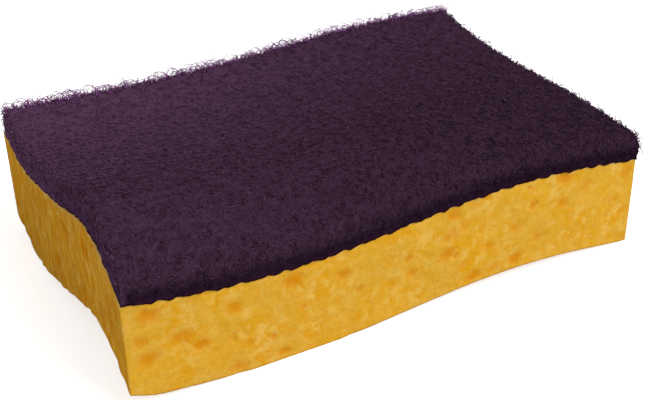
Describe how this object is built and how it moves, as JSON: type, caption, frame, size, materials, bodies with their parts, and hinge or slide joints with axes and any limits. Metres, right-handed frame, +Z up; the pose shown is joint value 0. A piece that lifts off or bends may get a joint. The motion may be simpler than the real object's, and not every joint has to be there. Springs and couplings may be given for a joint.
{
  "type": "cleaning sponge",
  "caption": "Warped rectangular cellulose sponge with open cells and a dark nonwoven scouring pad bonded flush on its top face.",
  "frame": {"origin": "bottom centre of the bounding box, on the surface that the sponge stands on", "axes": "+X along the length to the right, +Y across the width to the back, +Z up from the sponge side to the scouring side"},
  "size_m": [0.14, 0.09, 0.0442],
  "materials": {
    "cellulose": "matte open-celled sponge",
    "nonwoven_web": "matte tangled fibre web"
  },
  "bodies": {
    "root": {"sponge_block": "cellulose", "scouring_pad": "nonwoven_web"}
  },
  "joints": []
}
